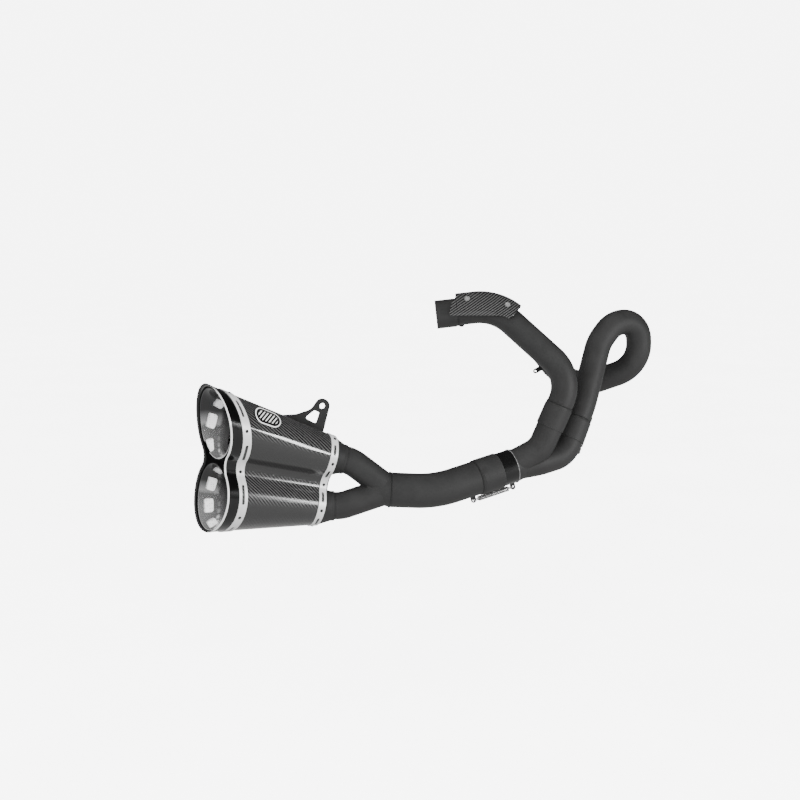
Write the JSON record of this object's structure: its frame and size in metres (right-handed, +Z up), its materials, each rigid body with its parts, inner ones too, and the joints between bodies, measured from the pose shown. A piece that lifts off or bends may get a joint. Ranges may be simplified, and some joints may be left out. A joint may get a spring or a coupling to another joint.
{
  "type": "motorcycle exhaust system",
  "caption": "Motorcycle exhaust system: header pipes join in a collector, a spring-held slip joint leads to a mid pipe, a forked link and a stacked carbon silencer with flared outlets.",
  "frame": {"origin": "centre of the hanger bracket's bolt hole, halfway through the plate", "axes": "+X towards the front of the motorcycle, +Y inboard along the hanger hole's axis, +Z up as fitted"},
  "size_m": [0.9274, 0.3103, 0.4171],
  "materials": {
    "coated_steel": "matt ceramic coating",
    "carbon": "clear-coated twill",
    "gloss_black": "gloss",
    "brushed_band": "brushed",
    "polished_bell": "polished",
    "bright_backing": "bright perforated",
    "sooted_steel": "sooted",
    "packing": "glass wool",
    "bracket": "satin",
    "badge": "dark printed plate",
    "screw": "bright",
    "spring_wire": "bright drawn wire"
  },
  "bodies": {
    "silencer": {"carbon_sleeve": "carbon", "outlet_cap": "gloss_black", "rim_trim": "brushed_band", "inlet_cap": "coated_steel", "outlet_strap": "brushed_band", "outlet_strap_rivets": "brushed_band", "inlet_strap": "brushed_band", "inlet_strap_rivets": "brushed_band", "upper_bell": "polished_bell", "upper_bell_backing": "bright_backing", "upper_core": "sooted_steel", "lower_bell": "polished_bell", "lower_bell_backing": "bright_backing", "lower_core": "sooted_steel", "outlet_face": "polished_bell", "baffle": "sooted_steel", "absorber_wool": "packing", "badge_plate": "badge", "hanger_bracket": "bracket", "hanger_rivets": "bracket", "y_merge": "coated_steel", "y_upper_branch": "coated_steel", "y_lower_branch": "coated_steel", "mid_pipe": "coated_steel", "mid_sleeve": "coated_steel", "mid_pipe_hooks": "coated_steel", "mid_lower_spring": "spring_wire", "mid_inboard_spring": "spring_wire"},
    "collector": {"collector_body": "coated_steel", "collector_spigot": "coated_steel", "collector_hooks": "coated_steel", "rear_joint_spring": "spring_wire", "front_joint_spring": "spring_wire"},
    "rear_header": {"rear_header_pipe": "coated_steel", "rear_header_sleeve": "coated_steel", "rear_port_socket": "coated_steel", "rear_header_hooks": "coated_steel", "heat_shield": "carbon", "shield_bosses": "coated_steel", "shield_washers": "screw", "shield_screws": "screw"},
    "front_header": {"front_header_pipe": "coated_steel", "front_header_sleeve": "coated_steel", "front_port_socket": "coated_steel", "front_header_hooks": "coated_steel"}
  },
  "joints": [
    {"name": "mid_slip_joint", "type": "hinge", "parent": "silencer", "child": "collector", "pos_m": [0.32783, -0.0443, -0.13188], "axis": [0.9724, 0.0434, 0.2292], "range_deg": [-5, 5], "deforming": ["mid_lower_spring", "mid_inboard_spring"]},
    {"name": "rear_slip_joint", "type": "hinge", "parent": "collector", "child": "rear_header", "pos_m": [0.427, -0.059, -0.051], "axis": [0.4076, -0.0388, 0.9123], "range_deg": [-4, 4], "deforming": ["rear_joint_spring"]},
    {"name": "front_slip_joint", "type": "hinge", "parent": "collector", "child": "front_header", "pos_m": [0.486, -0.027, -0.084], "axis": [0.4404, 0.1735, 0.8809], "range_deg": [-4, 4], "deforming": ["front_joint_spring"]}
  ]
}
